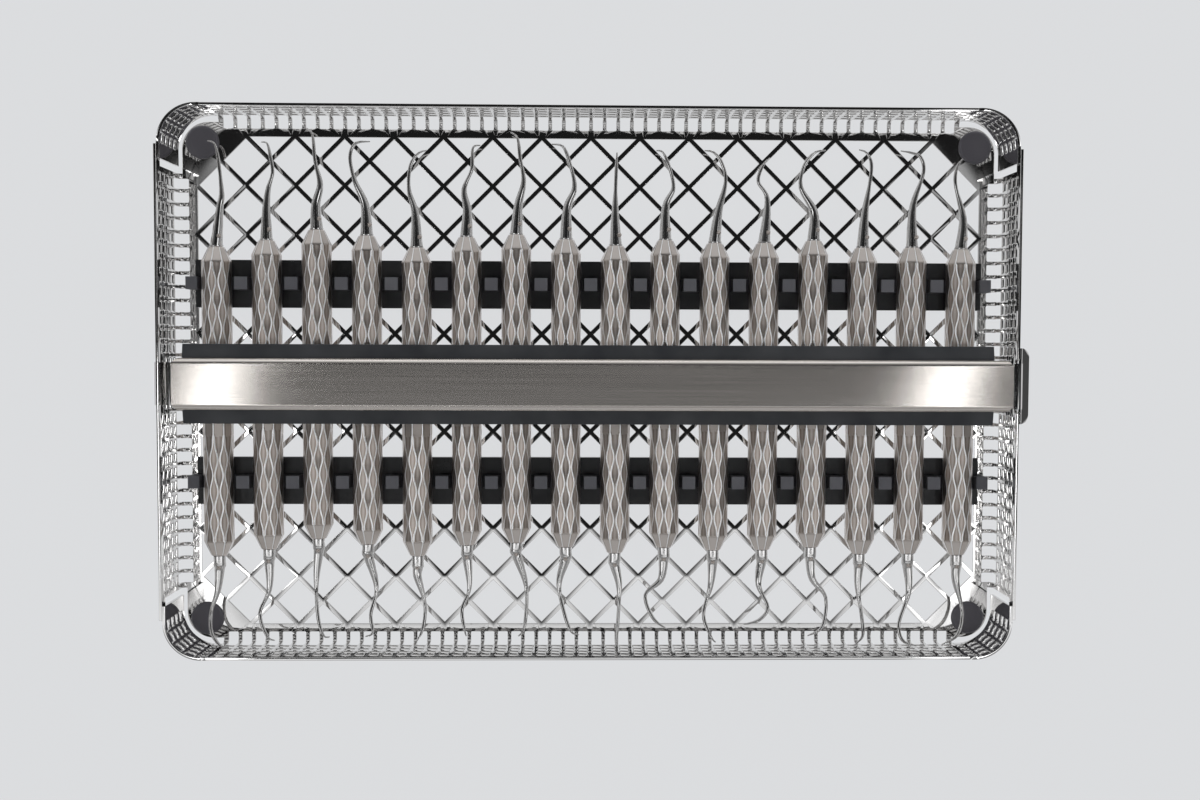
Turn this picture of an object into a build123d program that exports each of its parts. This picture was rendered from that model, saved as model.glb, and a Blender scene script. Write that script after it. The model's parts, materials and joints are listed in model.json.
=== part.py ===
from build123d import *
from dataclasses import dataclass
from math import cos, pi, sqrt
import os

# Instrument wash tray, lying on a table with its open side up, in millimetres.
# The origin is the middle of the tray on the table: +X runs along the tray towards the latch,
# +Y across it towards the rear wall, and +Z up through the open side.
# One steel blank is folded up into the tray. It is drawn here as its flats, parted at the bend
# lines: the lattice base, four walls, and the four strips that run on from the long walls
# round the corners and lie inside the short walls, where they are spot-welded.

# Tray body
tray_length = 280.0
tray_width = 180.0
tray_height = 30.0
sheet = 1.0
stand_off = 2.0
bend_radius = 1.5
corner_radius = 12.5
base_corner_radius = 9.0
long_wall_margin = 2.3
strip_overlap = 5.3
corner_gap = 2.0
corner_gap_height = 2.5
weld_tab_height = 4.6
weld_tab_overlap = 4.7

# Lattice in the base
lattice_pitch = 16.6
lattice_bar = 1.5
lattice_border = 6.5
half_hole_inset = 0.4

# Slots in the walls
slot_pitch = 4.6
slot_length = 3.3
slot_height = 3.0
slot_round = 0.45
row_pitch = 5.15
top_row_drop = 4.0
least_bar = 1.0
bend_slot_height = 4.9
bend_slot_reach = 4.6
strip_slot_pitch = 4.43

# Silicone feet, each a button through a hole in a corner of the base
foot_diameter = 11.1
foot_head_height = 1.1
foot_neck_diameter = 6.0
foot_neck_clearance = 0.1
foot_inset = 9.4
foot_round = 0.4

# Silicone racks that cradle the handles
rack_row_offset = 2
rack_width = 16.0
rack_floor = 2.8
rack_rib_width = 4.2
rack_rib_height = 10.0
rack_end_overhang = 1.6
notch_clearance = 1.05
notch_round = 3.2
plug_diameter = 9.6
plug_head_diameter = 12.0
plug_head_height = 1.1
plug_spacing = 4

# Instruments
handle_width = 10.2
handle_sides = 9
handle_body = 93.5
handle_cone = 5.0
handle_end_width = 5.2
seat_clearance = 0.2
tip_root_diameter = 4.3

# Clamp bar with its hook, tongue and finger tab
bar_width = 17.0
bar_drop = 0.6
bar_depth = 3.5
bar_edge_radius = 2.0
bar_corner_radius = 3.0
bar_end_clearance = 0.8
hook_width = 14.0
hook_clearance = 0.3
hook_wrap = 40.0
rim_strip = 4.2
tongue_width = 15.0
tongue_bend = 1.2
tab_clearance = 0.6
tab_width = 25.0
tab_drop = 1.2
tab_flare = 60.0
tab_lip = 3.0
tab_round = 3.0
notch_side_clearance = 1.3
latch_notch_depth = 2.6
latch_notch_round = 1.2
hook_slot_side_clearance = 0.6

# Silicone pad under the clamp bar
pad_width = 26.0
pad_lip_slope = 1.0
pad_lip_gap = 0.3
pad_side_height = 7.0
pad_foot_inset = 1.2
pad_grip = 0.6
pad_handle_clearance = 0.3

# Places that follow from the sizes above
half_length = tray_length / 2
half_width = tray_width / 2
base_under = stand_off
base_top = stand_off + sheet
outer_bend = bend_radius + sheet
bend_top = base_under + outer_bend
flat_half_x = half_length - outer_bend
flat_half_y = half_width - outer_bend
cells_x = int((tray_length - 2 * lattice_border) / lattice_pitch)
cells_y = int((tray_width - 2 * lattice_border) / lattice_pitch)
strip_outer_x = half_length - sheet
strip_inner_radius = corner_radius - sheet
strip_bottom = base_top + corner_gap_height
strip_end_y = half_width - corner_radius - strip_overlap
long_wall_half = strip_outer_x - corner_radius - long_wall_margin + sheet
short_wall_half = strip_end_y - corner_gap
bend_slot_top = base_top + bend_slot_height
slots_span = tray_height - top_row_drop - slot_height / 2 - least_bar - bend_slot_top
slot_rows = 1 + int(slots_span / row_pitch)
row_heights = [tray_height - top_row_drop - row_pitch * row for row in range(slot_rows)]
rack_length = cells_x * lattice_pitch
handle_flat = handle_width / 2 * cos(pi / handle_sides)
handle_axis = base_top + rack_floor + seat_clearance + handle_width / 2
handle_top = handle_axis + handle_flat
notch_width = handle_width + 2 * notch_clearance
hook_pivot_x = -half_length + sheet / 2
bar_top = tray_height - bar_drop
bar_under = bar_top - sheet
hook_pivot_z = tray_height - rim_strip / 2
hook_inner = sqrt(rim_strip ** 2 + sheet ** 2) / 2 + hook_clearance
hook_outer = hook_inner + sheet
hook_bend = bar_top - hook_pivot_z
hook_bend_x = hook_pivot_x + hook_inner + hook_bend
latch_notch_width = tongue_width + 2 * notch_side_clearance


@dataclass(frozen=True)
class Tip:
    """One working end: how far its neck bows and its point turns sideways, and where it ends."""

    bow: float
    turn: float
    wall_gap: float


@dataclass(frozen=True)
class Instrument:
    """A double-ended scaler: how far its handle lies off the middle, and its two ends."""

    shift: float
    rear: Tip
    front: Tip


# The instruments as they lie, from the hinge end to the latch end
instruments = [
    Instrument(-6.4, Tip(1.5, -3.5, 8.0), Tip(-2.5, 4.0, 1.5)),
    Instrument(-4.2, Tip(2.0, -2.0, 8.0), Tip(-2.5, 3.0, 3.0)),
    Instrument(-0.6, Tip(1.0, -3.5, 3.5), Tip(-1.0, 4.0, 5.5)),
    Instrument(-2.5, Tip(-5.5, 1.0, 8.0), Tip(2.5, -0.5, 5.5)),
    Instrument(-6.4, Tip(-2.5, 3.0, 11.0), Tip(3.0, 0.5, 2.5)),
    Instrument(-2.8, Tip(1.5, 5.0, 9.0), Tip(-2.0, -0.5, 6.0)),
    Instrument(-1.9, Tip(2.5, -2.0, 4.5), Tip(3.0, 0.5, 4.5)),
    Instrument(-3.4, Tip(2.5, -5.0, 8.5), Tip(-2.5, 4.0, 4.0)),
    Instrument(-5.4, Tip(0.0, 0.5, 11.0), Tip(1.5, 0.5, 2.5)),
    Instrument(-3.5, Tip(2.5, -3.0, 10.0), Tip(-6.0, 1.0, 7.5)),
    Instrument(-4.4, Tip(3.5, -3.5, 10.0), Tip(-3.0, 1.0, 2.0)),
    Instrument(-4.3, Tip(-1.5, 2.5, 12.0), Tip(1.5, -6.5, 9.0)),
    Instrument(-3.4, Tip(-4.0, 4.5, 9.5), Tip(5.0, -1.5, 5.0)),
    Instrument(-5.7, Tip(3.0, -1.0, 9.5), Tip(1.0, -1.5, 1.5)),
    Instrument(-5.6, Tip(4.0, -3.5, 9.5), Tip(-3.5, 2.5, 1.5)),
    Instrument(-6.0, Tip(-1.5, 1.0, 12.0), Tip(2.0, -5.5, 2.0)),
]


@dataclass(frozen=True)
class NeckStation:
    """A section of a working end, at a share of its length from the handle."""

    along: float
    bow: float
    turn: float
    rise: float
    diameter: float


# How a neck thins, bows to one side and turns back into its point
neck = [
    NeckStation(0.00, 0.00, 0.00, 0.00, tip_root_diameter),
    NeckStation(0.12, 0.00, 0.00, 0.00, 3.2),
    NeckStation(0.32, 0.10, 0.00, 0.05, 2.2),
    NeckStation(0.57, 1.00, 0.00, 0.30, 1.5),
    NeckStation(0.83, 0.50, 0.05, 0.70, 1.2),
    NeckStation(0.96, 0.00, 0.40, 0.95, 1.0),
    NeckStation(1.00, 0.00, 1.00, 1.00, 0.5),
]
rear_tip_rise = -2.5
front_tip_rise = 4.0


def save(node, shape):
    """Write one node's STEP file."""
    export_step(shape, f"parts/{node}.step")


def upright(sketch, height, bottom=0.0):
    """A sketch of the plan, extruded up from a height."""
    return Pos(0, 0, bottom) * extrude(sketch, height)


def facing_y(width, height, round_radius, centre_x, centre_z, y_from, y_to):
    """A rounded block that runs along Y, for cutting through a wall."""
    plane = Plane(origin=(centre_x, y_from, centre_z), x_dir=(1, 0, 0), z_dir=(0, 1, 0))
    return extrude(plane * RectangleRounded(width, height, round_radius), y_to - y_from)


def ring_sector(centre, inner, outer, start, end):
    """A piece of sheet bent about a centre, as a sketch, with its angles in degrees."""
    outer_arc = CenterArc(centre, outer, start, end - start)
    inner_arc = CenterArc(centre, inner, start, end - start)
    first = Line(outer_arc @ 0, inner_arc @ 0)
    last = Line(outer_arc @ 1, inner_arc @ 1)
    return make_face([outer_arc, inner_arc, first, last])


def along_y(sketch, width):
    """A sketch drawn in X and Z, made as wide as given and centred on the tray's middle."""
    return Pos(0, width / 2, 0) * extrude(Plane.XZ * sketch, width)


def slot_columns(half_span):
    """The middles of the slot columns that fit on a wall of this half span."""
    count = 2 * int((half_span + (slot_pitch - slot_length) / 2) / slot_pitch)
    return [(index - (count - 1) / 2) * slot_pitch for index in range(count)]


def edge_notches(half_span, edge):
    """The ends of the bend slots in one edge of the base, drawn with the edge at +Y."""
    reach = bend_slot_reach
    middle = edge + outer_bend
    inner_end = middle - reach
    shape = Pos(0, middle) * RectangleRounded(slot_length, 2 * (middle - inner_end), slot_round)
    return [Pos(x, 0) * shape for x in slot_columns(half_span)]


def lattice_holes():
    """All openings of the lattice: whole diamonds, and halves along the border."""
    side = lattice_pitch / sqrt(2) - lattice_bar
    reach = side / sqrt(2)
    whole = Rot(0, 0, 45) * Rectangle(side, side)
    base_line = reach - half_hole_inset
    half = make_face(Polyline((-base_line, -half_hole_inset), (base_line, -half_hole_inset),
                              (0, -reach), close=True))
    holes = []
    for column in range(2 * cells_x + 1):
        for row in range(2 * cells_y + 1):
            if (column + row) % 2 == 0:
                continue
            at = Pos((column - cells_x) * lattice_pitch / 2, (row - cells_y) * lattice_pitch / 2)
            from_side = min(column, 2 * cells_x - column)
            from_end = min(row, 2 * cells_y - row)
            if from_side + from_end < 2:
                continue
            if from_end == 0:
                holes.append(at * Rot(0, 0, 0 if row else 180) * half)
            elif from_side == 0:
                holes.append(at * Rot(0, 0, -90 if column else 90) * half)
            else:
                holes.append(at * whole)
    return holes


def foot_places():
    """The four places of the feet, by name."""
    x, y = half_length - foot_inset, half_width - foot_inset
    return {"front_left": (-x, -y), "front_right": (x, -y), "rear_left": (-x, y), "rear_right": (x, y)}


def base_plate():
    """The flat lattice, with rounded corners and the ends of the bend slots in its edges."""
    outline = RectangleRounded(2 * flat_half_x, 2 * flat_half_y, base_corner_radius)
    cuts = edge_notches(long_wall_half, flat_half_y)
    cuts += [Rot(0, 0, 180) * cut for cut in cuts]
    side_cuts = edge_notches(short_wall_half, flat_half_x)
    cuts += [Rot(0, 0, turn) * cut for turn in (90, -90) for cut in side_cuts]
    cuts += [Pos(*place) * Circle(foot_neck_diameter / 2 + foot_neck_clearance)
             for place in foot_places().values()]
    face = (outline - cuts).faces()[0]
    face = face.make_holes([hole.faces()[0].outer_wire() for hole in lattice_holes()])
    return upright(face, sheet, base_under)


def wall_profile():
    """A wall's section in Y and Z, from the bend line to the rim, with the outer face at Y 0."""
    bend = ring_sector((-outer_bend, bend_top), bend_radius, outer_bend, -90, 0)
    flat = Pos(-sheet / 2, (bend_top + tray_height) / 2) * Rectangle(sheet, tray_height - bend_top)
    return bend + flat


def wall_cuts(half_span, blocked_half=0.0):
    """The slots of one wall, without its top row over the blocked middle."""
    inside, outside = -outer_bend - 1, 1
    cuts = []
    for x in slot_columns(half_span):
        under = Pos(x, 0) * Rectangle(slot_length, 2 * (outer_bend + 1))
        cuts.append(upright(under, 2 * sheet, base_under - sheet))
        cuts.append(facing_y(slot_length, 2 * bend_slot_top, slot_round, x, 0, inside, outside))
        for row, height in enumerate(row_heights):
            if row == 0 and abs(x) - slot_length / 2 < blocked_half:
                continue
            cuts.append(facing_y(slot_length, slot_height, slot_round, x, height, inside, outside))
    return cuts


def wall_blank(half_span):
    """A wall before its slots are cut, along X, with its outer face at Y 0."""
    plane = Plane(origin=(-half_span, 0, 0), x_dir=(0, 1, 0), z_dir=(1, 0, 0))
    return extrude(plane * wall_profile(), 2 * half_span)


def long_wall():
    """A long wall, along X, with its outer face at Y 0."""
    return wall_blank(long_wall_half) - wall_cuts(long_wall_half)


def short_wall(opening, blocked_half):
    """A short wall with its two weld tabs and one opening, along X, with its outer face at Y 0."""
    tab_span = 2 * (strip_end_y + weld_tab_overlap)
    tab_middle = tray_height - weld_tab_height / 2
    tabs = Pos(0, -sheet / 2, tab_middle) * Box(tab_span, sheet, weld_tab_height)
    return (wall_blank(short_wall_half) + tabs) - (wall_cuts(short_wall_half, blocked_half) + [opening])


def latch_notch():
    """The open notch in the right wall's rim that the bar's tongue lies in."""
    return facing_y(latch_notch_width, 2 * latch_notch_depth, latch_notch_round, 0, tray_height,
                    -2 * sheet, sheet)


def hook_slot():
    """The closed slot in the left wall, under the strip of rim that the bar's hook goes round."""
    bottom = hook_pivot_z - hook_outer - hook_clearance
    top = tray_height - rim_strip
    return Pos(0, 0, (bottom + top) / 2) * Box(hook_width + 2 * hook_slot_side_clearance, 4 * sheet,
                                               top - bottom)


def corner_strip():
    """The strip at the rear right corner, from the rear wall round to inside the right wall."""
    arc_x, arc_y = strip_outer_x - corner_radius, half_width - corner_radius
    lead = arc_x - long_wall_half
    arc = ring_sector((arc_x, arc_y), strip_inner_radius, corner_radius, 0, 90)
    lead_in = Pos(arc_x - lead / 2, half_width - sheet / 2) * Rectangle(lead, sheet)
    run_out = Pos(strip_outer_x - sheet / 2, arc_y - strip_overlap / 2) * Rectangle(sheet, strip_overlap)
    strip = upright(arc + lead_in + run_out, tray_height - strip_bottom, strip_bottom)
    middle_radius = corner_radius - sheet / 2
    arc_length = middle_radius * pi / 2
    last_on_wall = slot_columns(long_wall_half)[-1]
    cuts = []
    place = last_on_wall + strip_slot_pitch - arc_x
    while place + slot_length / 2 < arc_length + strip_overlap - sheet:
        angle = min(max(place, 0.0), arc_length) / arc_length * 90
        past = place - min(max(place, 0.0), arc_length)
        frame = Pos(arc_x, arc_y, 0) * Rot(0, 0, -angle) * Pos(past, middle_radius, 0)
        for height in row_heights:
            cuts.append(frame * facing_y(slot_length, slot_height, slot_round, 0, height, -sheet, sheet))
        place += strip_slot_pitch
    return strip - cuts


def foot():
    """A silicone foot: a pad under the base, a neck through it and a round head on top."""
    head_radius, neck_radius = foot_diameter / 2, foot_neck_diameter / 2
    head_top = base_top + foot_head_height
    section = Polyline((0, 0), (head_radius, 0), (head_radius, base_under), (neck_radius, base_under),
                       (neck_radius, base_top), (head_radius, base_top), (head_radius, head_top),
                       (0, head_top), close=True)
    solid = revolve(Plane.XZ * make_face(section), Axis.Z)
    rims = solid.edges().filter_by(GeomType.CIRCLE).group_by(Axis.Z)
    return fillet(rims[0] + rims[-1], foot_round)


def rack():
    """A silicone rack along X: two wings, a rib with a cradle for each handle, and plugs below."""
    wings = Pos(0, 0, base_top + rack_floor / 2) * Box(rack_length, rack_width, rack_floor)
    rib_top = base_top + rack_rib_height
    rib = Pos(0, rack_rib_height / 2) * Rectangle(rack_length + 2 * rack_end_overhang, rack_rib_height)
    cradle_height = 2 * (rack_rib_height - rack_floor)
    cradle = RectangleRounded(notch_width, cradle_height, notch_round)
    cradles = [Pos(x, rack_rib_height) * cradle for x in handle_places()]
    rib_solid = Pos(0, 0, base_top) * along_y(rib - cradles, rack_rib_width)
    plugs = []
    for index in range(cells_x):
        if index % plug_spacing == 1:
            x = (index - (cells_x - 1) / 2) * lattice_pitch
            plugs.append(Pos(x, 0, base_under + sheet / 2) * Cylinder(plug_diameter / 2, sheet))
            plugs.append(Pos(x, 0, base_under - plug_head_height / 2)
                         * Cylinder(plug_head_diameter / 2, plug_head_height))
    return wings + rib_solid + plugs


def rack_y(side):
    """The middle line of a rack, on the row of diamonds nearest its place."""
    return side * rack_row_offset * lattice_pitch


def handle_places():
    """The X of each instrument's axis, over the middle of each column of diamonds."""
    return [(index - (cells_x - 1) / 2) * lattice_pitch for index in range(cells_x)]


def clamp_bar():
    """The clamp bar: a shallow channel with a hook at the hinge end and a tongue at the latch."""
    left, right = hook_bend_x, half_length - sheet - bar_end_clearance
    outer = Pos(0, bar_top - bar_depth / 2) * Rectangle(bar_width, bar_depth)
    outer = fillet(outer.vertices().group_by(Axis.Y)[-1], bar_edge_radius)
    inner = Pos(0, bar_under - bar_depth / 2) * Rectangle(bar_width - 2 * sheet, bar_depth)
    inner = fillet(inner.vertices().group_by(Axis.Y)[-1], bar_edge_radius - sheet)
    plane = Plane(origin=(left, 0, 0), x_dir=(0, 1, 0), z_dir=(1, 0, 0))
    channel = extrude(plane * (outer - inner), right - left)
    plan = RectangleRounded(right - left, bar_width, bar_corner_radius)
    channel = channel & upright(Pos((left + right) / 2, 0) * plan, tray_height)
    bend = ring_sector((hook_bend_x, hook_pivot_z), hook_bend - sheet, hook_bend, 90, 180)
    wrap = ring_sector((hook_pivot_x, hook_pivot_z), hook_inner, hook_outer, -90 - hook_wrap, 0)
    return channel + along_y(bend + wrap, hook_width) + latch_end(right)


def latch_end(start):
    """The bar's tongue over the notch and the finger tab outside the wall."""
    turn_z = bar_under - tongue_bend
    turn_x = half_length + tab_clearance - tongue_bend
    face_x = turn_x + tongue_bend + sheet
    run = Pos((start + turn_x) / 2, bar_top - sheet / 2) * Rectangle(turn_x - start, sheet)
    over = ring_sector((turn_x, turn_z), tongue_bend, tongue_bend + sheet, 0, 90)
    down = Pos(face_x - sheet / 2, turn_z - tab_drop / 2) * Rectangle(sheet, tab_drop)
    flare_centre = (face_x + tongue_bend, turn_z - tab_drop)
    flare = ring_sector(flare_centre, tongue_bend, tongue_bend + sheet, 180, 180 + tab_flare)
    lip_start = tongue_bend + sheet / 2
    lip_place = Pos(*flare_centre) * Rot(0, 0, tab_flare) * Pos(-lip_start, -tab_lip / 2)
    lip = lip_place * Rectangle(sheet, tab_lip)
    head = along_y(flare + lip, tab_width)
    head_end = head.bounding_box().max.X
    plan = RectangleRounded(4 * tab_round, tab_width, tab_round)
    head = head & upright(Pos(head_end - 2 * tab_round, 0) * plan, tray_height)
    return along_y(run + over + down, tongue_width) + head


def clamp_pad():
    """The silicone pad under the bar, with a shallow groove over each handle."""
    channel_half = bar_width / 2 - bar_edge_radius
    shoulder = bar_top - bar_depth - pad_lip_gap
    half = pad_width / 2
    bottom = handle_top - pad_grip
    right_side = [(channel_half, bar_under), (channel_half, shoulder), (bar_width / 2, shoulder),
                  (half, shoulder - pad_lip_slope), (half, shoulder - pad_lip_slope - pad_side_height),
                  (half - pad_foot_inset, bottom)]
    left_side = [(-x, z) for x, z in reversed(right_side)]
    section = make_face(Polyline(*right_side, *left_side, close=True))
    plane = Plane(origin=(-rack_length / 2, 0, 0), x_dir=(0, 1, 0), z_dir=(1, 0, 0))
    pad = extrude(plane * section, rack_length)
    groove = Rot(90, 0, 0) * Cylinder(handle_width / 2 + pad_handle_clearance, 2 * pad_width)
    return pad - [Pos(x, 0, handle_axis) * groove for x in handle_places()]


def handle(x, shift):
    """A faceted handle with a cone at each end, lying along Y with a facet up."""
    body, whole = handle_body / 2, handle_body / 2 + handle_cone
    stations = [(-whole, handle_end_width), (-body, handle_width), (body, handle_width),
                (whole, handle_end_width)]
    facet_up = 90 - 180 / handle_sides
    sections = []
    for y, width in stations:
        plane = Plane(origin=(x, shift + y, handle_axis), x_dir=(-1, 0, 0), z_dir=(0, 1, 0))
        sections.append(plane * Rot(0, 0, facet_up) * RegularPolygon(width / 2, handle_sides))
    return loft(sections, ruled=True)


def tip_length(tip, side, shift):
    """How long a working end is, from the handle's cone to its place near the wall."""
    return half_width - sheet - tip.wall_gap - handle_body / 2 - handle_cone - side * shift


def working_end(x, shift, tip, side, rise):
    """One neck and point, as sections along its bowed line, on the rear side for +1."""
    start = shift + side * (handle_body / 2 + handle_cone)
    length = tip_length(tip, side, shift)
    points = [Vector(x + tip.bow * station.bow + tip.turn * station.turn,
                     start + side * length * station.along,
                     handle_axis + rise * station.rise) for station in neck]
    sections = []
    for index, station in enumerate(neck):
        before = points[max(index - 1, 0)]
        after = points[min(index + 1, len(points) - 1)]
        direction = Vector(0, side, 0) if index == 0 else (after - before).normalized()
        plane = Plane(origin=points[index], x_dir=(0, 0, 1), z_dir=direction)
        sections.append(plane * Circle(station.diameter / 2))
    return loft(sections, ruled=True)


def build():
    """Make every node and write it."""
    os.makedirs("parts", exist_ok=True)
    save("base_plate", base_plate())

    side = long_wall()
    save("rear_wall", Pos(0, half_width, 0) * side)
    save("front_wall", Rot(0, 0, 180) * Pos(0, half_width, 0) * side)
    blocked = latch_notch_width / 2
    save("right_wall", Rot(0, 0, -90) * Pos(0, half_length, 0) * short_wall(latch_notch(), blocked))
    save("left_wall", Rot(0, 0, 90) * Pos(0, half_length, 0) * short_wall(hook_slot(), blocked))

    strip = corner_strip()
    save("rear_right_corner", strip)
    save("rear_left_corner", mirror(strip, Plane.YZ))
    save("front_right_corner", mirror(strip, Plane.XZ))
    save("front_left_corner", Rot(0, 0, 180) * strip)

    one_foot = foot()
    for name, place in foot_places().items():
        save(f"{name}_foot", Pos(*place, 0) * one_foot)

    one_rack = rack()
    save("rear_rack", Pos(0, rack_y(1), 0) * one_rack)
    save("front_rack", Pos(0, rack_y(-1), 0) * one_rack)

    save("clamp_bar", clamp_bar())
    save("clamp_pad", clamp_pad())

    for index, x in enumerate(handle_places()):
        kind = instruments[index % len(instruments)]
        number = f"{index + 1:02d}"
        save(f"handle_{number}", handle(x, kind.shift))
        rear = working_end(x, kind.shift, kind.rear, 1, rear_tip_rise)
        front = working_end(x, kind.shift, kind.front, -1, front_tip_rise)
        save(f"working_ends_{number}", Compound(children=[rear, front]))


build()
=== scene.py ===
"""The looks of an instrument wash tray: a lattice tray of polished sheet steel with slotted walls,
silicone racks, pad and feet, sixteen scalloped scalers and a hinged clamp bar across them.

Everything is in metres in the tray's own frame: +X towards the latch, +Y to the rear wall, +Z up.
"""

import json
import logging
import math
from dataclasses import dataclass, field
from enum import Enum
from typing import Iterable, Sequence

import bmesh
import bpy
from mathutils import Euler, Matrix, Vector

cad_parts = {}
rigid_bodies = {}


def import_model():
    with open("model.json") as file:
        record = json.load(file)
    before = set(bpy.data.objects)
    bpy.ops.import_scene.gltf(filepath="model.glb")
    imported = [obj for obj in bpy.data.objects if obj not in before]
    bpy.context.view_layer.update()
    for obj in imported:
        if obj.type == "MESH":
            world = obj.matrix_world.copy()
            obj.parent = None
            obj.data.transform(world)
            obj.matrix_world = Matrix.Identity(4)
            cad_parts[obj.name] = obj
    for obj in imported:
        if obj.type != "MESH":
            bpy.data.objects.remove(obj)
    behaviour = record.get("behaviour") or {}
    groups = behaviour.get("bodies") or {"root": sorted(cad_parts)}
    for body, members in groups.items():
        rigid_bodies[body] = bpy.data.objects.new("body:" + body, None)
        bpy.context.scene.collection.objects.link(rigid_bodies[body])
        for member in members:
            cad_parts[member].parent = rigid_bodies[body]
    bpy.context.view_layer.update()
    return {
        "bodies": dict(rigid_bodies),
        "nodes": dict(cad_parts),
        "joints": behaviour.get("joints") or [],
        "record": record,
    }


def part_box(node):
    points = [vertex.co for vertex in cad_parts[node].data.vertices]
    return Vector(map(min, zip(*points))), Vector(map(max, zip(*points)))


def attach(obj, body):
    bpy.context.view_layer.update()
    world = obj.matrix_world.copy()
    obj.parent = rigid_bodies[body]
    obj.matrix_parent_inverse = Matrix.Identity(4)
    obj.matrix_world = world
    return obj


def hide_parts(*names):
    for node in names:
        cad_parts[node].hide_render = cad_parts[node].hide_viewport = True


LOG = logging.getLogger("wash_tray")
MM = 0.001
# Attribute of the handle's painted light: painted highlight on ridge crests, painted shade at their feet,
# painted sheen on the cones.
PAINTED_HANDLE_LIGHT = "painted_ridge_and_cone_light"
BRUSH = "across_the_brushing"
TINY_GAP = 0.0001 * MM
CAD_GAP = 0.001 * MM
Triple = tuple[float, float, float]
Span = tuple[float, float]
Route = tuple[Span, ...]


class Body(Enum):
    """The rigid bodies of the tray."""

    TRAY = "tray"
    CLAMP = "clamp"


class End(Enum):
    """The two ends of an instrument, with the sign of Y that each points to."""

    REAR = 1
    FRONT = -1


class Tree:
    """A node tree with short ways to add nodes and to write sums as sums."""

    def __init__(self, tree: bpy.types.NodeTree) -> None:
        """Wrap a tree.

        Args:
            tree: The tree of a material, a world, a node group or a modifier.
        """
        self.tree = tree

    def add(self, kind: str, inputs: dict | None = None, **settings: object) -> bpy.types.Node:
        """Add a node.

        Args:
            kind: The node's type name.
            inputs: Values or sockets for its inputs, by socket name or index.
            settings: Properties of the node, set before its inputs.

        Returns:
            The new node.
        """
        node = self.tree.nodes.new(kind)
        for name, value in settings.items():
            setattr(node, name, value)
        for key, value in (inputs or {}).items():
            self.feed(node.inputs[key], value)
        return node

    def feed(self, socket: bpy.types.NodeSocket, value: object) -> None:
        """Give a socket a value, or a link from another socket.

        Args:
            socket: The input to feed.
            value: A number, a vector, a Sum or an output socket.
        """
        if isinstance(value, Sum):
            value = value.socket
        if isinstance(value, bpy.types.NodeSocket):
            self.tree.links.new(value, socket)
        else:
            socket.default_value = value

    def of(self, socket: bpy.types.NodeSocket) -> "Sum":
        """A number of the tree, ready for sums."""
        return Sum(self, socket)

    def maths(self, operation: str, *values: object) -> "Sum":
        """One Math node.

        Args:
            operation: The operation's name in Blender.
            values: Its operands, numbers or sockets.

        Returns:
            Its result.
        """
        node = self.add("ShaderNodeMath", dict(enumerate(values)), operation=operation)
        return Sum(self, node.outputs[0])

    def mix(self, low: object, high: object, share: object) -> "Sum":
        """A number that goes from low at a share of 0 to high at a share of 1."""
        return self.maths("MULTIPLY_ADD", share, self.maths("SUBTRACT", high, low), low)

    def ramp(self, value: object, low: float, high: float) -> "Sum":
        """A smooth step from 0 at low to 1 at high.

        Args:
            value: The number that is mapped.
            low: Where the step starts.
            high: Where the step ends.

        Returns:
            The share of the way, from 0 to 1.
        """
        node = self.add("ShaderNodeMapRange", interpolation_type="SMOOTHSTEP")
        for name, number in (("Value", value), ("From Min", low), ("From Max", high)):
            self.feed(node.inputs[name], number)
        return Sum(self, node.outputs["Result"])


class Sum:
    """A socket that can be added, multiplied and so on, each time with one Math node."""

    def __init__(self, tree: Tree, socket: bpy.types.NodeSocket) -> None:
        """Hold a socket and its tree."""
        self.tree = tree
        self.socket = socket

    def __add__(self, other: object) -> "Sum":
        """The sum with another number."""
        return self.tree.maths("ADD", self, other)

    def __sub__(self, other: object) -> "Sum":
        """The difference from another number."""
        return self.tree.maths("SUBTRACT", self, other)

    def __rsub__(self, other: object) -> "Sum":
        """Another number less this one."""
        return self.tree.maths("SUBTRACT", other, self)

    def __mul__(self, other: object) -> "Sum":
        """The product with another number."""
        return self.tree.maths("MULTIPLY", self, other)

    def __truediv__(self, other: object) -> "Sum":
        """This number divided by another."""
        return self.tree.maths("DIVIDE", self, other)

    def absolute(self) -> "Sum":
        """Its size without its sign."""
        return self.tree.maths("ABSOLUTE", self)

    def cosine(self) -> "Sum":
        """Its cosine, in radians."""
        return self.tree.maths("COSINE", self)

    def clamp(self, low: object, high: object) -> "Sum":
        """It, held between two numbers."""
        return self.tree.maths("MINIMUM", self.tree.maths("MAXIMUM", self, low), high)


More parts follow.
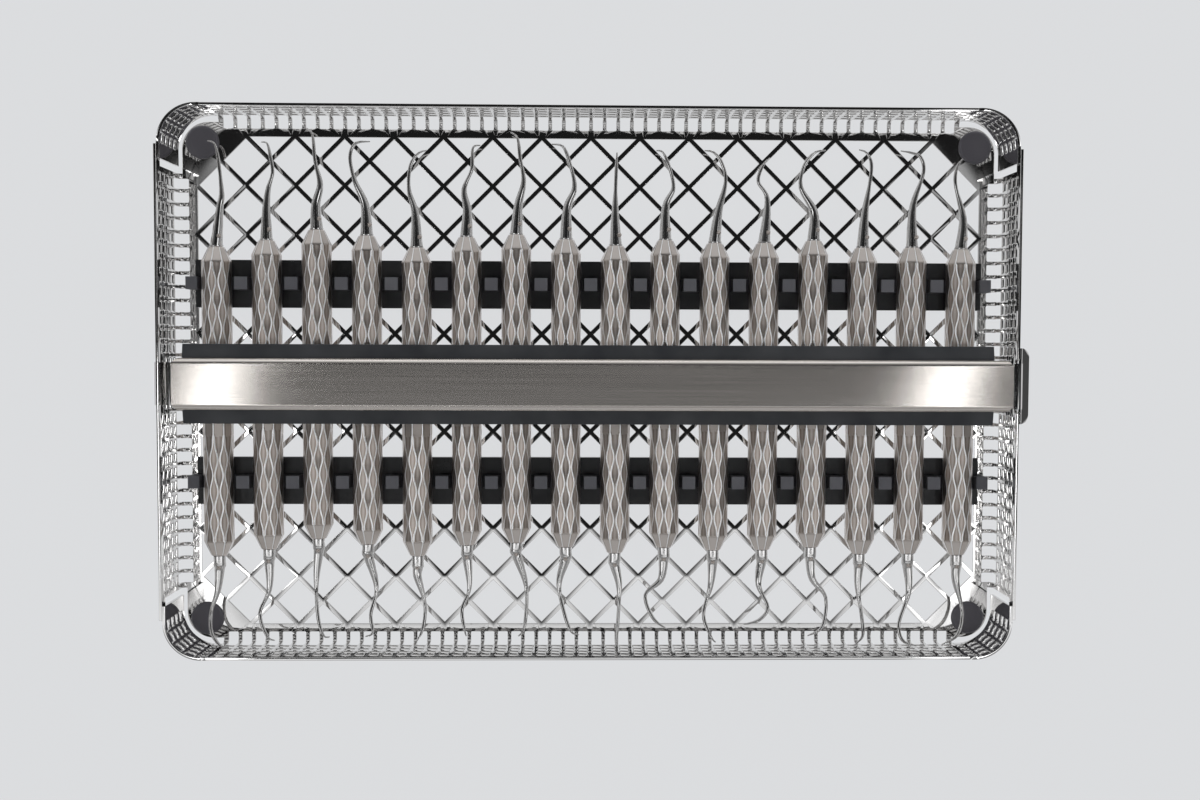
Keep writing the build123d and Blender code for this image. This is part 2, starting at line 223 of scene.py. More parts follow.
class SurfaceGroup:
    """The shader node group that all finishes share: uneven roughness, specks and fine relief."""

    NAME = "fine_surface"
    GRAIN_DETAIL = 3.0
    BLOTCH_DETAIL = 2.0
    SPECK_SPAN: Span = (0.62, 0.72)
    ROUGHNESS_SPAN: Span = (0.02, 1.0)
    BLOTCH_TINT = 0.08

    @classmethod
    def get(cls) -> bpy.types.NodeTree:
        """The group, built the first time that it is asked for."""
        return bpy.data.node_groups.get(cls.NAME) or cls._build()

    @classmethod
    def _build(cls) -> bpy.types.NodeTree:
        """Build the group."""
        group = bpy.data.node_groups.new(cls.NAME, "ShaderNodeTree")
        face = group.interface
        face.new_socket("Vector", in_out="INPUT", socket_type="NodeSocketVector")
        for name in ("Grain", "Blotch", "Roughness", "Spread", "Specks"):
            face.new_socket(name, in_out="INPUT", socket_type="NodeSocketFloat")
        for name in ("Colour", "Speck Colour"):
            face.new_socket(name, in_out="INPUT", socket_type="NodeSocketColor")
        face.new_socket("Colour", in_out="OUTPUT", socket_type="NodeSocketColor")
        for name in ("Roughness", "Height"):
            face.new_socket(name, in_out="OUTPUT", socket_type="NodeSocketFloat")
        tree = Tree(group)
        given = tree.add("NodeGroupInput").outputs
        grain = tree.add("ShaderNodeTexNoise", {"Vector": given["Vector"], "Scale": given["Grain"],
                                                "Detail": cls.GRAIN_DETAIL})
        blotch = tree.add("ShaderNodeTexNoise", {"Vector": given["Vector"], "Scale": given["Blotch"],
                                                 "Detail": cls.BLOTCH_DETAIL})
        grain_value = tree.of(grain.outputs["Fac"])
        blotch_value = tree.of(blotch.outputs["Fac"])
        uneven = (grain_value + blotch_value - 1.0) * given["Spread"]
        roughness = (uneven + given["Roughness"]).clamp(*cls.ROUGHNESS_SPAN)
        speck = tree.ramp(grain_value, *cls.SPECK_SPAN) * given["Specks"]
        tint = tree.add("ShaderNodeMix", {0: speck, 6: given["Colour"], 7: given["Speck Colour"]},
                        data_type="RGBA")
        shade = tree.add("ShaderNodeBrightContrast", {"Color": tint.outputs[2],
                                                      "Bright": (blotch_value - 0.5) * cls.BLOTCH_TINT})
        out = tree.add("NodeGroupOutput")
        tree.feed(out.inputs["Colour"], shade.outputs[0])
        tree.feed(out.inputs["Roughness"], roughness)
        tree.feed(out.inputs["Height"], grain_value)
        return group


@dataclass(frozen=True)
class Finish:
    """A finish: its colour and gloss, and how fine its grain and blotches are, per metre."""

    name: str
    colour: Triple
    metallic: float
    roughness: float
    spread: float
    stretch: Triple = (1.0, 1.0, 1.0)
    grain: float = 2500.0
    blotch: float = 60.0
    specks: float = 0.0
    speck_colour: Triple = (0.8, 0.8, 0.8)
    relief: float = 0.004 * MM
    # How strongly the handle's painted ridge highlight, painted ridge shade and painted cone sheen shift
    # the colour.
    painted_light_gain: float = 0.0
    brushed: bool = False

    def build(self) -> bpy.types.Material:
        """Make the material, or find it if it is made."""
        found = bpy.data.materials.get(self.name)
        if found:
            return found
        material = bpy.data.materials.new(self.name)
        material.use_nodes = True
        tree = Tree(material.node_tree)
        shader = material.node_tree.nodes["Principled BSDF"]
        place = tree.add("ShaderNodeTexCoord")
        mapping = tree.add("ShaderNodeMapping", {"Vector": place.outputs["Object"], "Scale": self.stretch})
        surface = tree.add("ShaderNodeGroup", node_tree=SurfaceGroup.get())
        for name, value in (("Vector", mapping.outputs[0]), ("Grain", self.grain), ("Blotch", self.blotch),
                            ("Roughness", self.roughness), ("Spread", self.spread),
                            ("Specks", self.specks), ("Colour", (*self.colour, 1.0)),
                            ("Speck Colour", (*self.speck_colour, 1.0))):
            tree.feed(surface.inputs[name], value)
        bump = tree.add("ShaderNodeBump", {"Height": surface.outputs["Height"], "Strength": 1.0,
                                           "Distance": self.relief})
        shader.inputs["Metallic"].default_value = self.metallic
        colour = surface.outputs["Colour"]
        # Painted light: the colour is brightened on ridge crests and cones and darkened at ridge feet,
        # standing in for highlights and shade.
        if self.painted_light_gain:
            ridge = tree.add("ShaderNodeAttribute", attribute_name=PAINTED_HANDLE_LIGHT)
            gain = tree.of(ridge.outputs["Fac"]) * self.painted_light_gain
            colour = tree.add("ShaderNodeBrightContrast", {"Color": colour, "Bright": gain}).outputs[0]
        if self.brushed:
            shader.inputs["Anisotropic"].default_value = 1.0
            brush = tree.add("ShaderNodeTangent", direction_type="UV_MAP", uv_map=BRUSH)
            tree.feed(shader.inputs["Tangent"], brush.outputs[0])
        tree.feed(shader.inputs["Base Color"], colour)
        tree.feed(shader.inputs["Roughness"], surface.outputs["Roughness"])
        tree.feed(shader.inputs["Normal"], bump.outputs[0])
        return material


POLISHED_SHEET = Finish("electropolished_sheet", (0.7, 0.69, 0.68), 1.0, 0.05, 0.06, specks=0.15,
                        relief=0.0003 * MM)
BRUSHED_BAR = Finish("bar_brushed_lengthwise", (0.7, 0.655, 0.61), 1.0, 0.17, 0.06,
                     stretch=(0.006, 1.0, 1.0), grain=7000.0, blotch=2500.0, relief=0.002 * MM,
                     brushed=True)
# Satin steel colour, with painted ridge highlights, painted ridge shade and a painted cone sheen on top.
SATIN_HANDLE = Finish("handle_satin_steel", (0.58, 0.525, 0.485), 1.0, 0.34, 0.1, grain=6000.0,
                      relief=0.003 * MM, painted_light_gain=1.1)
POLISHED_TIP = Finish("tip_polished_steel", (0.6, 0.59, 0.58), 1.0, 0.11, 0.06, relief=0.001 * MM)
# One silicone split by height: below the studs its colour is darkened to near black as painted shade of
# the handles over the wings; the stud tops keep a lighter grey and a matte finish.
SHADED_RACK = Finish("rack_silicone_painted_shade", (0.012, 0.012, 0.014), 0.0, 0.32, 0.12, grain=4000.0,
                    specks=0.15, speck_colour=(0.05, 0.05, 0.055), relief=0.01 * MM)
STUD_RACK = Finish("stud_matte_silicone", (0.11, 0.11, 0.122), 0.0, 0.5, 0.1, grain=5000.0,
                   relief=0.012 * MM)
GREY_FOOT = Finish("foot_grey_silicone", (0.115, 0.11, 0.125), 0.0, 0.48, 0.12, grain=4500.0,
                   specks=0.2, speck_colour=(0.12, 0.12, 0.13), relief=0.01 * MM)
GREY_PAD = Finish("pad_grey_silicone", (0.035, 0.037, 0.041), 0.0, 0.55, 0.12, grain=4500.0,
                  specks=0.2, speck_colour=(0.07, 0.07, 0.075), relief=0.012 * MM)


class Bench:
    """Turns meshes and trees into finished pieces that ride on the tray's bodies."""

    @staticmethod
    def link(name: str, mesh: bpy.types.Mesh) -> bpy.types.Object:
        """Put a mesh in the scene as an object at the origin."""
        piece = bpy.data.objects.new(name, mesh)
        bpy.context.scene.collection.objects.link(piece)
        return piece

    @staticmethod
    def from_bmesh(name: str, shape: bmesh.types.BMesh) -> bpy.types.Object:
        """Put a bmesh in the scene, with its faces turned outwards."""
        bmesh.ops.remove_doubles(shape, verts=shape.verts, dist=TINY_GAP)
        bmesh.ops.recalc_face_normals(shape, faces=shape.faces)
        mesh = bpy.data.meshes.new(name)
        shape.to_mesh(mesh)
        shape.free()
        return Bench.link(name, mesh)

    @staticmethod
    def set_plain(piece: bpy.types.Object) -> bpy.types.Object:
        """Turn a piece's modifiers into plain mesh."""
        graph = bpy.context.evaluated_depsgraph_get()
        mesh = bpy.data.meshes.new_from_object(piece.evaluated_get(graph))
        piece.modifiers.clear()
        old = piece.data
        piece.data = mesh
        bpy.data.meshes.remove(old)
        return piece

    @staticmethod
    def bevel(piece: bpy.types.Object, width: float, segments: int,
              angle: float = 30.0) -> bpy.types.Object:
        """Round a piece's edges and make the result plain mesh.

        Args:
            piece: The piece to round.
            width: The bevel's width in metres.
            segments: How many steps round the edge.
            angle: The least angle between faces that counts as an edge, in degrees.

        Returns:
            The same piece.
        """
        rounding = piece.modifiers.new("round", "BEVEL")
        rounding.width = width
        rounding.segments = segments
        rounding.limit_method = "ANGLE"
        rounding.angle_limit = math.radians(angle)
        rounding.use_clamp_overlap = True
        piece.data.shade_smooth()
        weighting = piece.modifiers.new("flats stay flat", "WEIGHTED_NORMAL")
        weighting.mode = "FACE_AREA"
        weighting.keep_sharp = True
        return Bench.set_plain(piece)

    @staticmethod
    def lay_brushing(piece: bpy.types.Object) -> bpy.types.Object:
        """Give a piece a UV map whose first axis runs across its length, for brushed highlights."""
        layer = piece.data.uv_layers.new(name=BRUSH)
        for loop in piece.data.loops:
            place = piece.data.vertices[loop.vertex_index].co
            layer.data[loop.index].uv = (place.y, place.x + place.z)
        return piece

    @staticmethod
    def smooth(piece: bpy.types.Object, angle: float) -> bpy.types.Object:
        """Shade a piece smooth, apart from edges sharper than an angle in degrees."""
        piece.data.shade_smooth()
        piece.data.set_sharp_from_angle(angle=math.radians(angle))
        return piece

    @staticmethod
    def finish(piece: bpy.types.Object, finishes: Sequence[Finish], body: Body, slot: str,
               nodes: Iterable[str]) -> bpy.types.Object:
        """Dress a piece, and let it ride and stand for its nodes.

        Args:
            piece: The piece, in its place.
            finishes: Its finishes, in the order of its material slots.
            body: The body that it rides on.
            slot: The record's material slot; not used.
            nodes: The nodes that it stands for.

        Returns:
            The same piece.
        """
        if len(piece.data.materials):
            piece.data.materials.clear()
        for item in finishes:
            piece.data.materials.append(item.build())
        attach(piece, body.value)
        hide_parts(*nodes)
        LOG.info("%s: %d faces", piece.name, len(piece.data.polygons))
        return piece


@dataclass
class SheetMetal:
    """The folded sheet of the tray and the clamp bar, with the edges that polishing leaves."""

    nodes: tuple[str, ...]
    finish: Finish
    body: Body
    slot: str
    edge: float = 0.14 * MM
    segments: int = 2

    def build(self, frame: dict) -> list[bpy.types.Object]:
        """Make each sheet with rounded edges.

        Args:
            frame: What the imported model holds.

        Returns:
            The pieces.
        """
        return [self._dress(frame["nodes"][node], node) for node in self.nodes]

    @staticmethod
    def polish_ends(piece: bpy.types.Object, finish: Finish, left: float, right: float) -> None:
        """Give a piece another finish beyond two places along X, as on the bar's hook and tab.

        Args:
            piece: The piece.
            finish: The finish of its ends.
            left: Where the left end starts, in metres.
            right: Where the right end starts, in metres.
        """
        piece.data.materials.append(finish.build())
        for face in piece.data.polygons:
            face.material_index = int(not left < face.center.x < right)

    def _dress(self, source: bpy.types.Object, node: str) -> bpy.types.Object:
        """One sheet, copied from its node, merged and rounded."""
        shape = bmesh.new()
        shape.from_mesh(source.data)
        bmesh.ops.remove_doubles(shape, verts=shape.verts, dist=CAD_GAP)
        mesh = bpy.data.meshes.new(node + "_dressed")
        shape.to_mesh(mesh)
        shape.free()
        piece = Bench.link(node + "_dressed", mesh)
        Bench.bevel(piece, self.edge, self.segments)
        if self.finish.brushed:
            Bench.lay_brushing(piece)
        return Bench.finish(piece, [self.finish], self.body, self.slot, [node])


@dataclass
class HandleShape:
    """The sizes of a handle: a faceted bar, ground into rows of lenses, with a cone at each end."""

    facets: int = 9
    width: float = 10.2 * MM
    cone: float = 5.0 * MM
    end_width: float = 5.2 * MM
    plain_half: float = 13.7 * MM
    period: float = 10.6 * MM
    bite: float = 0.17 * MM
    hollow: float = 0.02 * MM
    band: float = 0.2
    # Painted sheen: how much lighter the cones' colour is made.
    painted_cone_sheen: float = 0.12
    lead: float = 3.0 * MM
    fade: float = 0.6 * MM
    cap: float = 0.6 * MM
    rows: int = 240
    steps: int = 12


class HandleTree:
    """The Geometry Nodes tree that makes a handle from its sizes.

    Across half a facet the skin has one wide column, four narrow ones round the ridge, and one wide
    column. A ridge gets a painted highlight on its crest and painted shade at its foot, both as shares of
    its band, and the cones get a painted sheen.
    """

    NAMES = ("Axis X", "Middle Y", "Axis Z", "Half Length", "Width", "Cone", "End Width", "Plain Half",
             "Period", "Bite", "Hollow", "Band", "Painted Cone Sheen", "Lead", "Fade", "Cap", "Roll")
    COUNTS = ("Facets", "Rows", "Steps")
    HALF_COLUMNS = 6.0
    RIDGE_COLUMNS = 4.0
    # Painted highlight on a ridge's crest and painted shade at its foot: peak, fall-off, bounds and reach,
    # in bands.
    CREST_PEAK = 1.9
    CREST_FALL = 2.3
    CREST_SPAN: Span = (-0.26, 1.0)
    CREST_REACH = 1.5

    def __init__(self) -> None:
        """Build the tree."""
        self.group = bpy.data.node_groups.new("scalloped_handle", "GeometryNodeTree")
        face = self.group.interface
        self.keys = {}
        for names, kind in ((self.NAMES, "NodeSocketFloat"), (self.COUNTS, "NodeSocketInt"),
                            (("Finish",), "NodeSocketMaterial")):
            for name in names:
                self.keys[name] = face.new_socket(name, in_out="INPUT", socket_type=kind).identifier
        face.new_socket("Geometry", in_out="OUTPUT", socket_type="NodeSocketGeometry")
        self._build(Tree(self.group))

    def _build(self, tree: Tree) -> None:
        """Lay out the nodes: a grid is rolled up into the handle's skin."""
        given = tree.add("NodeGroupInput").outputs
        size = {name: tree.of(given[name]) for name in self.NAMES + self.COUNTS}
        columns = size["Facets"] * size["Steps"] + 1.0
        grid = tree.add("GeometryNodeMeshGrid", {"Size X": 1.0, "Size Y": 1.0, "Vertices X": size["Rows"],
                                                 "Vertices Y": columns})
        parts = tree.add("ShaderNodeSeparateXYZ", {0: tree.add("GeometryNodeInputPosition").outputs[0]})
        along = tree.of(parts.outputs[0])
        around = tree.of(parts.outputs[1])

        reach = along * 2.0 * (size["Half Length"] + size["Cap"])
        y = reach.clamp(size["Half Length"] * -1.0, size["Half Length"])
        cap = 1.0 - (reach.absolute() - size["Half Length"]).clamp(0.0, 1.0) / size["Cap"]
        body_half = size["Half Length"] - size["Cone"]
        taper = ((y.absolute() - body_half) / size["Cone"]).clamp(0.0, 1.0)
        scale = tree.mix(1.0, size["End Width"] / size["Width"], taper) * cap

        turn = (around + 0.5) * size["Facets"]
        cell = tree.maths("FLOOR", turn)
        across = (turn - cell) * 2.0 - 1.0
        spread = across.absolute()
        radius = size["Width"] * 0.5
        half_facet = tree.maths("DIVIDE", math.pi, size["Facets"])
        facet = radius * half_facet.cosine()
        past_plain = y.absolute() - size["Plain Half"]
        ground = tree.maths("MINIMUM", past_plain / size["Lead"] + 1.0,
                            (body_half - y.absolute()) / size["Fade"]).clamp(0.0, 1.0)
        wave = (past_plain / size["Period"] * (2 * math.pi)).cosine() * 0.5 + 0.5
        flat = facet + (1.0 - wave) * size["Bite"] * ground
        corner = tree.mix(radius, facet + wave * size["Bite"], ground)
        slope = (corner / flat - half_facet.cosine()) / tree.maths("SINE", half_facet)
        ridge = (tree.maths("ARCTANGENT", slope) / half_facet).clamp(0.0, 1.0)
        middle = ridge.clamp(size["Band"], 1.0 - size["Band"])
        stops = spread * self.HALF_COLUMNS
        past_ridge = stops - (self.RIDGE_COLUMNS + 1.0)
        offset = ((middle - size["Band"]) * stops.clamp(0.0, 1.0)
                  + size["Band"] * 0.5 * (stops - 1.0).clamp(0.0, self.RIDGE_COLUMNS)
                  + (1.0 - middle - size["Band"]) * past_ridge.clamp(0.0, 1.0))

        rest = 1.0 - offset
        hollow = size["Hollow"] * ground
        flat_dish = (ridge * ridge - offset * offset).clamp(0.0, 1.0) * hollow
        corner_dish = ((1.0 - ridge) * (1.0 - ridge) - rest * rest).clamp(0.0, 1.0) * hollow
        skin = tree.maths("MINIMUM", flat / (offset * half_facet).cosine() - flat_dish,
                          corner / (rest * half_facet).cosine() - corner_dish) * scale
        lean = tree.maths("SIGN", across) * offset * half_facet
        angle = cell * 2.0 * half_facet + lean + size["Roll"] + math.pi / 2
        place = tree.add("ShaderNodeCombineXYZ")
        tree.feed(place.inputs[0], size["Axis X"] + skin * angle.cosine())
        tree.feed(place.inputs[1], size["Middle Y"] + y)
        tree.feed(place.inputs[2], size["Axis Z"] + skin * tree.maths("SINE", angle))
        # Painted light for the finish: a painted highlight on each ridge's crest, painted shade at its
        # foot, and a painted sheen on the cones.
        from_ridge = (offset - ridge).absolute() / size["Band"]
        near = tree.maths("LESS_THAN", from_ridge, self.CREST_REACH)
        crest = (self.CREST_PEAK - from_ridge * self.CREST_FALL).clamp(*self.CREST_SPAN) * near
        tone = crest + tree.maths("GREATER_THAN", taper, 0.0) * size["Painted Cone Sheen"]
        marked = tree.add("GeometryNodeStoreNamedAttribute",
                          {"Geometry": grid.outputs["Mesh"], "Name": PAINTED_HANDLE_LIGHT, "Value": tone})
        rolled = tree.add("GeometryNodeSetPosition", {"Geometry": marked.outputs[0],
                                                      "Position": place.outputs[0]})
        joined = tree.add("GeometryNodeMergeByDistance", {"Geometry": rolled.outputs[0],
                                                          "Distance": TINY_GAP})
        whole = tree.add("GeometryNodeRealizeInstances", {"Geometry": joined.outputs[0]})
        dressed = tree.add("GeometryNodeSetMaterial", {"Geometry": whole.outputs[0],
                                                       "Material": given["Finish"]})
        tree.feed(tree.add("NodeGroupOutput").inputs[0], dressed.outputs[0])


@dataclass
class Instrument:
    """A double-ended scaler: the routes of its two necks, in millimetres from the handle's end."""

    number: int
    rear: Route
    front: Route
    rear_rise: float = -2.5
    front_rise: float = 4.0
    roll_per_metre: float = 1.89
    handle_angle: float = 60.0
    neck_angle: float = 40.0
    shape: HandleShape = field(default_factory=HandleShape)

    def build(self, tree: HandleTree) -> list[bpy.types.Object]:
        """Make the handle and its working ends.

        Args:
            tree: The tree that makes handles.

        Returns:
            The pieces.
        """
        return [self._handle(tree), self._working_ends()]

    def _node(self) -> str:
        """The handle's node."""
        return f"handle_{self.number:02d}"

    def _axis(self) -> Vector:
        """The middle of the handle, on its axis."""
        low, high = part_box(self._node())
        middle = (low + high) / 2
        return Vector((middle.x, middle.y, low.z + self.shape.width / 2))

    def _handle(self, tree: HandleTree) -> bpy.types.Object:
        """The scalloped handle."""
        low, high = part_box(self._node())
        axis, shape = self._axis(), self.shape
        values = {"Axis X": axis.x, "Middle Y": axis.y, "Axis Z": axis.z,
                  "Half Length": (high.y - low.y) / 2, "Width": shape.width, "Cone": shape.cone,
                  "End Width": shape.end_width, "Plain Half": shape.plain_half,
                  "Period": shape.period, "Bite": shape.bite, "Hollow": shape.hollow,
                  "Band": shape.band, "Painted Cone Sheen": shape.painted_cone_sheen, "Lead": shape.lead,
                  "Fade": shape.fade, "Cap": shape.cap, "Roll": axis.x * self.roll_per_metre,
                  "Facets": shape.facets, "Rows": shape.rows, "Steps": shape.steps,
                  "Finish": SATIN_HANDLE.build()}
        name = f"scalloped_{self._node()}"
        piece = Bench.link(name, bpy.data.meshes.new(name))
        modifier = piece.modifiers.new("handle", "NODES")
        modifier.node_group = tree.group
        for key, value in values.items():
            modifier[tree.keys[key]] = value
        Bench.set_plain(piece)
        Bench.smooth(piece, self.handle_angle)
        return Bench.finish(piece, [SATIN_HANDLE], Body.TRAY, "handle_steel", [self._node()])

    def _working_ends(self) -> bpy.types.Object:
        """Both necks with their points, as one mesh."""
        shape = bmesh.new()
        low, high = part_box(self._node())
        axis = self._axis()
        rear_root = Vector((axis.x, high.y, axis.z))
        front_root = Vector((axis.x, low.y, axis.z))
        Neck(rear_root, End.REAR, self.rear, self.rear_rise, REAR_NECK).add_to(shape)
        Neck(front_root, End.FRONT, self.front, self.front_rise, FRONT_NECK).add_to(shape)
        node = f"working_ends_{self.number:02d}"
        piece = Bench.from_bmesh(f"polished_{node}", shape)
        Bench.smooth(piece, self.neck_angle)
        return Bench.finish(piece, [POLISHED_TIP, SATIN_HANDLE], Body.TRAY, "tip_steel", [node])


@dataclass(frozen=True)
class NeckShape:
    """The sizes of a neck: its root in the handle, its bent taper, its point and its round mark."""

    root_width: float = 4.6 * MM
    root_length: float = 0.5 * MM
    shank_width: float = 4.3 * MM
    thin_width: float = 1.2 * MM
    point_width: float = 0.4 * MM
    taper_share: float = 0.6
    point_share: float = 0.18
    mark_width: float = 1.5 * MM
    mark_place: Triple = (1.2 * MM, 3.4 * MM, 1.5 * MM)
    mark_rounds: int = 2
    sides: int = 16
    smoothing: int = 6
    collar_share: float = 0.9
    first_bend: float = 1.5


REAR_NECK = NeckShape()
FRONT_NECK = NeckShape(root_width=4.1 * MM, root_length=4.0 * MM, shank_width=3.5 * MM,
                       taper_share=0.45, mark_place=(0.0, 3.8 * MM, 1.5 * MM))


@dataclass
class Neck:
    """One neck: a bent taper pressed into the handle, with a round mark near its root."""

    start: Vector
    end: End
    route: Route
    rise: float
    size: NeckShape

    def add_to(self, shape: bmesh.types.BMesh) -> None:
        """Add the neck to a mesh.

        Args:
            shape: The mesh that it is added to.
        """
        line = self._line()
        total = sum((b - a).length for a, b in zip(line, line[1:]))
        rings, gone = [], 0.0
        for index, point in enumerate(line):
            before, after = line[max(index - 1, 0)], line[min(index + 1, len(line) - 1)]
            if index:
                gone += (point - line[index - 1]).length
            along = (after - before).normalized()
            side = along.cross(Vector((0, 0, 1))).normalized()
            up = side.cross(along)
            radius = self._radius(gone, total)
            rings.append([shape.verts.new(point + (side * math.cos(a) + up * math.sin(a)) * radius)
                          for a in (2 * math.pi * k / self.size.sides for k in range(self.size.sides))])
        for first, second in zip(rings, rings[1:]):
            for k in range(self.size.sides):
                nxt = (k + 1) % self.size.sides
                shape.faces.new((first[k], first[nxt], second[nxt], second[k]))
        shape.faces.new(rings[0])
        shape.faces.new(rings[-1])
        self._add_mark(shape)

    def _line(self) -> list[Vector]:
        """The neck's middle line, as a smooth curve through its route."""
        sign = self.end.value
        reach = max(abs(v) for _, v in self.route) * MM
        root = self.size.root_length
        stops = [Vector((0, 0, 0)), Vector((0, root * 0.5, 0)), Vector((0, root, 0))]
        for side, out in self.route:
            share = min(out * MM / reach, 1.0)
            if out * MM > root * self.size.first_bend:
                stops.append(Vector((side * MM, out * MM, self.rise * MM * share * share)))
        points = [stops[0], stops[1]]
        for index in range(1, len(stops) - 1):
            a, b = stops[index], stops[index + 1]
            before = stops[index - 1]
            after = stops[min(index + 2, len(stops) - 1)]
            for step in range(1, self.size.smoothing + 1):
                points.append(self._bend(before, a, b, after, step / self.size.smoothing))
        return [self.start + Vector((p.x, p.y * sign, p.z)) for p in points]

    @staticmethod
    def _bend(before: Vector, a: Vector, b: Vector, after: Vector, t: float) -> Vector:
        """A point between a and b on the smooth curve through all four."""
        first, second = (b - before) * 0.5, (after - a) * 0.5
        t2, t3 = t * t, t * t * t
        return (a * (2 * t3 - 3 * t2 + 1) + first * (t3 - 2 * t2 + t)
                + b * (3 * t2 - 2 * t3) + second * (t3 - t2))

    def _radius(self, gone: float, total: float) -> float:
        """The neck's radius at a distance along it."""
        size = self.size
        if gone < size.root_length * size.collar_share:
            return size.root_width / 2
        share = max(gone - size.root_length, 0.0) / (total - size.root_length)
        thinned = min(share / size.taper_share, 1.0)
        waist = size.shank_width + (size.thin_width - size.shank_width) * thinned
        point = max(share - 1.0 + size.point_share, 0.0) / size.point_share
        return (waist + (size.point_width - waist) * point) / 2

    def _add_mark(self, shape: bmesh.types.BMesh) -> None:
        """The round mark near the root."""
        side, out, up = self.size.mark_place
        place = self.start + Vector((side, self.end.value * out, up))
        mark = bmesh.ops.create_icosphere(shape, subdivisions=self.size.mark_rounds,
                                          radius=self.size.mark_width / 2,
                                          matrix=Matrix.Translation(place))
        for vertex in mark["verts"]:
            for face in vertex.link_faces:
                face.material_index = 1


INSTRUMENTS = (
    Instrument(1, ((1.2, 12.6), (1.8, 18), (0.3, 30.4), (-1, 34.3), (-3.1, 35.1)),
               ((0, 3.9), (-0.7, 11.9), (-2.7, 18.7), (-2.4, 25.2), (0.7, 29.7), (3.6, 30.1))),
    Instrument(2, ((0, 10.7), (0.6, 16.8), (2, 22.5), (1, 28.6), (0, 32.1), (-1.9, 32.6)),
               ((0, 13.6), (-2.9, 21.4), (-0.3, 28.8), (2.4, 30.2))),
    Instrument(3, ((-0.2, 8.1), (1.2, 14.9), (-0.5, 22.6), (-1.5, 31.4), (-3.5, 33.7)),
               ((-0.8, 14.6), (0, 26.2), (2, 32.1), (4.1, 32.6))),
    Instrument(4, ((-0.6, 10.3), (-3.9, 18), (-5.6, 25.8), (-3.9, 30.6), (1, 31.3)),
               ((2.8, 14.6), (1, 23.4), (1.8, 29.3), (-0.6, 30.6))),
    Instrument(5, ((-0.5, 11.5), (-2.6, 19.3), (-2.2, 26.9), (0.2, 31.2), (3.2, 32.4)),
               ((0, 7.3), (2.5, 16.1), (2, 23.9), (0, 28.2))),
    Instrument(6, ((0.2, 8.9), (-0.8, 15.8), (1.7, 22.5), (2, 29.6), (4.5, 30.6)),
               ((0.8, 14.6), (-1.6, 21.5), (-0.6, 28.3), (0, 30.2))),
    Instrument(7, ((0.7, 9.9), (2.4, 17.6), (1.2, 25.4), (0.3, 32.1), (-2, 34.1)),
               ((3.4, 15.1), (2.9, 27.8), (0.8, 31.2))),
    Instrument(8, ((0.4, 10.5), (2.8, 17.4), (1, 26), (-1.2, 31), (-4.9, 31.7)),
               ((-2.2, 12.7), (-0.3, 22.4), (2, 28.1), (4.6, 29.2))),
    Instrument(9, ((-0.2, 11.3), (0, 21.4), (0.4, 31.1)),
               ((1.6, 11.9), (1, 24.4), (0.5, 30.5))),
    Instrument(10, ((0.2, 11.4), (2.7, 17.5), (1.2, 24.7), (-0.8, 29.3), (-3, 30)),
               ((-1, 10.9), (-6.2, 16), (-3.7, 23.5), (1, 27.2))),
    Instrument(11, ((1.2, 10.4), (3.6, 20.5), (2.3, 26.8), (-0.3, 30.3), (-3.4, 31)),
               ((-0.7, 12.2), (-3.1, 21.7), (-0.7, 28.8), (0.9, 30.8))),
    Instrument(12, ((1, 14.5), (-2, 20.5), (-0.5, 25.8), (2, 28.6)),
               ((-1, 11.9), (2, 19.2), (-1, 23.4), (-6.2, 24.8))),
    Instrument(13, ((0, 9.6), (-4.3, 17.7), (-3.2, 24.9), (0.5, 29.5), (4.2, 30.3)),
               ((0.8, 10.9), (5.2, 17), (3.9, 26.5), (-1.2, 29.6))),
    Instrument(14, ((0.7, 12), (2.4, 22.1), (2.9, 28.3), (1.3, 31.9), (-1.2, 32.9)),
               ((-0.3, 11.9), (1, 22.4), (1, 27.5), (-1.5, 30.2))),
    Instrument(15, ((0.3, 14), (3.9, 25.2), (2.9, 30.5), (-0.2, 31.9), (-3.7, 32.5)),
               ((0.3, 13.4), (-3.1, 23.5), (-2, 29.1), (2.7, 30.9))),
    Instrument(16, ((0.6, 10.3), (-1.9, 21.6), (-1.2, 27.8), (0.8, 30.4)),
               ((0, 9.3), (2, 19.7), (0, 26.9), (-5.2, 30))),
)


@dataclass
class Feet:
    """The four silicone buttons in the corners of the base."""

    names: tuple[str, ...] = ("front_left", "front_right", "rear_left", "rear_right")
    sheet: float = 1.0 * MM
    stand_off: float = 2.0 * MM
    neck_width: float = 6.0 * MM
    chamfer: float = 0.7 * MM
    chamfer_drop: float = 0.4 * MM
    crown: float = 0.1 * MM
    round: float = 0.3 * MM
    steps: int = 64
    edge: float = 0.12 * MM
    edge_segments: int = 2
    edge_angle: float = 25.0

    def build(self) -> list[bpy.types.Object]:
        """Make the four feet."""
        return [self._foot(f"{name}_foot") for name in self.names]

    def _foot(self, node: str) -> bpy.types.Object:
        """One foot, turned about its axis.

        Args:
            node: The node that it stands for.

        Returns:
            The piece.
        """
        low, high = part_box(node)
        middle = (low + high) / 2
        radius = (high.x - low.x) / 2
        top, plate = high.z, self.stand_off + self.sheet
        neck = self.neck_width / 2
        profile = [(0, 0), (radius - self.round, 0), (radius, self.round), (radius, self.stand_off),
                   (neck, self.stand_off), (neck, plate), (radius, plate),
                   (radius, top - self.chamfer_drop - self.crown),
                   (radius - self.chamfer, top - self.crown), (0, top)]
        shape = bmesh.new()
        points = [shape.verts.new((middle.x + r, middle.y, z)) for r, z in profile]
        edges = [shape.edges.new(pair) for pair in zip(points, points[1:])]
        bmesh.ops.spin(shape, geom=points + edges, cent=(middle.x, middle.y, 0), axis=(0, 0, 1),
                       angle=2 * math.pi, steps=self.steps, use_merge=True)
        piece = Bench.from_bmesh(f"moulded_{node}", shape)
        Bench.bevel(piece, self.edge, self.edge_segments, self.edge_angle)
        return Bench.finish(piece, [GREY_FOOT], Body.TRAY, "foot_silicone", [node])


